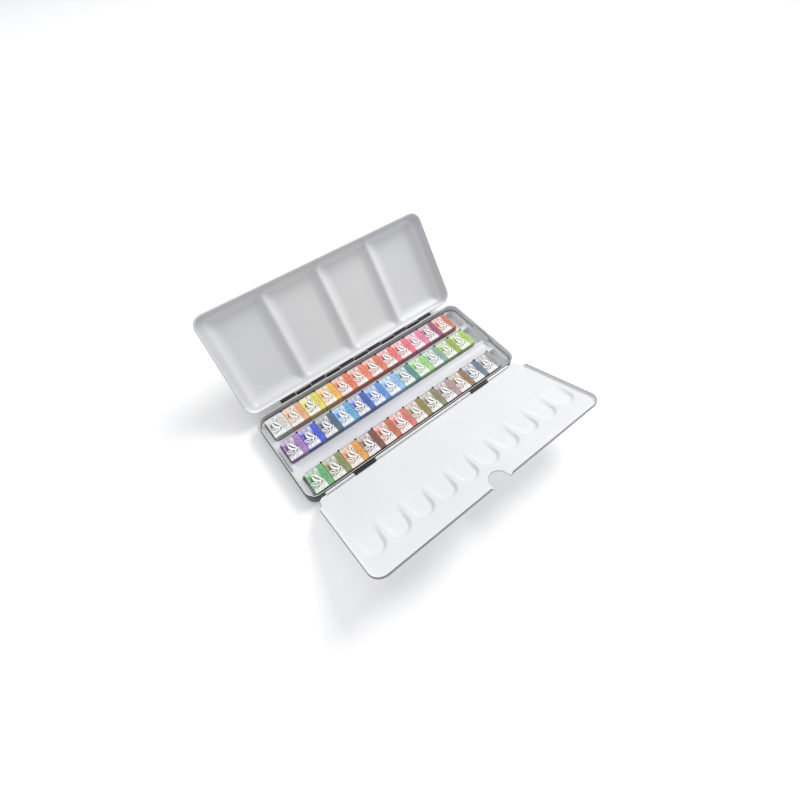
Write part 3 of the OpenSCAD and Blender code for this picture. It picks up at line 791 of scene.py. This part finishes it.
def sleeveOutline():
    # outline of the folded sleeve, anticlockwise seen from +X: front, top, back and underside with
    # round folds; the top has a row every step
    r, y1, z1 = pan["fold"], pan["depth"] / 2, pan["height"] / 2
    top = np.linspace(-y1 + r, y1 - r, int((pan["depth"] - 2 * r) / pan["step"]))
    side = np.linspace(-z1 + r, z1 - r, 6)[1:-1]
    flat = lambda a, b: np.stack(np.broadcast_arrays(a, b), axis=1)
    return np.concatenate([
        arc(-y1 + r, -z1 + r, r, 270, 180, 4), flat(-y1, side),
        arc(-y1 + r, z1 - r, r, 180, 90, 4), flat(top[1:-1], z1),
        arc(y1 - r, z1 - r, r, 90, 0, 4), flat(y1, side[::-1]),
        arc(y1 - r, -z1 + r, r, 0, -90, 4), flat(np.linspace(y1 - r, -y1 + r, 6)[1:-1], -z1)])


def makeSleeve(tag, centre, number):
    # the outline carried along X, with a slight wave in its top, and its inner wall one paper
    # thickness inside
    p = pan
    ground, strip = (np.array(linearColor(c))[:3] for c in inks[tag])
    tone = float(ground @ np.array([0.2, 0.7, 0.1]))
    dark = ground * (0.08 + 0.34 * tone) if tone < 0.62 else np.full(3, 0.05)
    outline = sleeveOutline()
    inner = outline * (1 - 2 * p["paper"] / np.array([p["depth"], p["height"]]))
    xs = np.linspace(-p["width"] / 2, p["width"] / 2, int(p["width"] / p["step"]) + 1)
    wave = p["wave"] * np.sin(xs * 0.5 + number) * np.sin(xs * 0.2 + 2 * number)
    x, k = np.meshgrid(xs, np.arange(len(outline)))
    flatTop = outline[k, 1] > p["height"] / 2 - 0.1
    outer = np.stack([x, outline[k, 0], outline[k, 1] + wave[None] * flatTop], axis=-1)
    ends = np.stack([np.stack([np.full(len(inner), end), inner[:, 0], inner[:, 1]], axis=-1)
                     for end in (xs[0], xs[-1])], axis=1)
    ids = np.arange(k.size).reshape(k.shape)
    endIds = ids.size + np.arange(len(inner) * 2).reshape(len(inner), 2)
    ring = np.concatenate([ids, endIds[:, ::-1], ids[:, :1]], axis=1)
    faces = gridFaces(np.concatenate([ring, ring[:1]]))[:, ::-1]
    points = np.concatenate([outer.reshape(-1, 3), ends.reshape(-1, 3)])
    px, py = points[:, 0] + p["width"] / 2, points[:, 1] + p["depth"] / 2
    onTop = points[:, 2] > p["height"] / 2 - 0.3
    beside = smoothStep(sprig["strip"] - 0.3, sprig["strip"] + 0.3, px)[:, None]
    # sides and ends: the pan and strip colours at 0.6 plus 0.13, darker than the top as painted
    # shade
    side = 0.6 * (ground + (strip - ground) * beside) + 0.13
    ink = np.where(onTop[:, None], printTop(px, py, ground, strip, dark), side)
    colors = np.concatenate([ink, np.ones((len(ink), 1))], axis=1)
    return makePiece("sleeve_" + tag, points + centre, faces, [labelPaper], sharpAngle=60,
                     colors=colors)


def makeCupAndCake(tag, centre):
    # cup: a rounded tray with thick walls. cake: a block whose top falls off with the square of the
    # distance from its middle
    w, d = pan["width"] / 2 - cup["side"], pan["depth"] / 2 - cup["end"]
    h, t, inset, corner = pan["height"] - cup["drop"], cup["wall"], cup["inset"], cup["corner"]
    rows = cornerSteps(-d + t + inset, d - t - inset, corner, cup["step"])
    cols = cornerSteps(-w + t + inset, w - t - inset, corner, cup["step"])
    x, y = squeezedGrid(cols, rows, roundedHalfWidth(rows, rows[0], rows[-1], cols[-1], corner),
                        cup["core"])
    base = -pan["height"] / 2 + 0.3
    cupSection = np.array([[0.4, 0.1], [0.6, 0.4], [0.6, h - t - 0.1], [0.7, h - t],
                           [t + 0.5, h - t], [t + 0.6, h - t - 0.1], [t + 0.6, 0.2 - t],
                           [t + 0.3, -t]])
    points, faces, _ = pressedSheet(x, y, np.full(x.shape, base + t), np.full(x.shape, base),
                                    cupSection)
    cupPiece = makePiece("cup_" + tag, points + centre, faces, [cupPlastic])

    spread = ((x / cols[-1]) ** 2 + (y / rows[-1]) ** 2) / 2
    crown = base + h - cake["below"] - cake["crown"] * spread
    cakeSection = np.array([[0.3, -0.1], [0.45, -0.4], [0.45, -h + 2.4], [0.3, -h + 2.1]])
    points, faces, _ = pressedSheet(x, y, crown, np.full(x.shape, base + t + cake["lift"]),
                                    cakeSection)
    ground = np.array(linearColor(inks[tag][0]))[:3]
    colors = np.tile(np.array([*(ground * cake["tone"]), 1.0]), (len(points), 1))
    cakePiece = makePiece("cake_" + tag, points + centre, faces, [paintCake], colors=colors)
    return cupPiece, cakePiece


for number, tag in enumerate(inks):
    node = "pan_" + tag
    nodeLow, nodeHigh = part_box(node)
    centre = (np.array(nodeLow) + np.array(nodeHigh)) / 2 / mm
    sleeve = makeSleeve(tag, centre, number)
    for piece in (sleeve, *makeCupAndCake(tag, centre)):
        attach(piece, node)
    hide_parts(node)
print("pans made")


# floor, light and camera

studio = dict(floor=("#fdfdfd", "#ffffff"), glow=0.2, floorHalf=3000, floorRows=9, floorZ=-0.02,
              world="#f7f8fb", worldStrength=0.42,
              keyPower=9.0, keySize=0.55, keyPlace=(0.86, 0.13, 0.96),  # watts and metres
              topPower=7.0, topSize=1.4, topPlace=(-0.1, 0.7, 1.25),
              azimuth=-38.2, elevation=57.24, distance=366.7, target=(-1.48, -13.87, 11.5),
              lens=19.6, sensor=36, clip=(0.01, 20))


def makeFloor():
    # matt paper sweep over a weak light panel: a broad faint tone, and only soft shadows
    material, tree, shader, place = startMaterial("paleStudioPaper")
    tone = addNode(tree, "ShaderNodeTexNoise", {"Vector": place, "Scale": 4.0, "Detail": 2.0})
    tint = addNode(tree, "ShaderNodeValToRGB", {"Fac": tone.outputs["Fac"]},
                   stops=((0, studio["floor"][0]), (1, studio["floor"][1])))
    setInputs(tree, shader, {
        "Base Color": tint.outputs["Color"], "Roughness": 0.9, "Specular IOR Level": 0.1,
        "Emission Color": tint.outputs["Color"], "Emission Strength": studio["glow"]})
    count = studio["floorRows"]
    steps = np.linspace(-studio["floorHalf"], studio["floorHalf"], count)
    x, y = np.meshgrid(steps, steps)
    points = np.stack([x.ravel(), y.ravel(), np.full(x.size, studio["floorZ"])], axis=1)
    floor = makePiece("studioFloor", points, gridFaces(np.arange(x.size).reshape(count, count)),
                      [material])


def standAt(thing, place, towards):
    # stands at place and looks along towards, upright
    thing.location = place
    thing.rotation_euler = Vector(towards).to_track_quat("-Z", "Y").to_euler()
    scene.collection.objects.link(thing)


def makeLight(name, power, size, place):
    # square area light aimed at the middle of the tin
    data = bpy.data.lights.new(name, "AREA")
    data.energy, data.size = power, size
    standAt(bpy.data.objects.new(name, data), place, -Vector(place))


def makeCamera():
    # stands distance away from the target, back along its azimuth and elevation
    lens = bpy.data.cameras.new("camera")
    lens.lens, lens.sensor_width = studio["lens"], studio["sensor"]
    lens.clip_start, lens.clip_end = studio["clip"]
    camera = bpy.data.objects.new("camera", lens)
    azimuth, elevation = math.radians(studio["azimuth"]), math.radians(studio["elevation"])
    back = np.array([math.sin(azimuth) * math.cos(elevation),
                     -math.cos(azimuth) * math.cos(elevation), math.sin(elevation)])
    standAt(camera, (np.array(studio["target"]) + back * studio["distance"]) * mm, -back)
    scene.camera = camera


makeFloor()
makeLight("keySoftbox", studio["keyPower"], studio["keySize"], studio["keyPlace"])
makeLight("topSoftbox", studio["topPower"], studio["topSize"], studio["topPlace"])
world = bpy.data.worlds.new("studioAir")
world.use_nodes = True
setInputs(world.node_tree, world.node_tree.nodes["Background"], {
    "Color": linearColor(studio["world"]), "Strength": studio["worldStrength"]})
scene.world = world
makeCamera()
print("camera and lights placed")
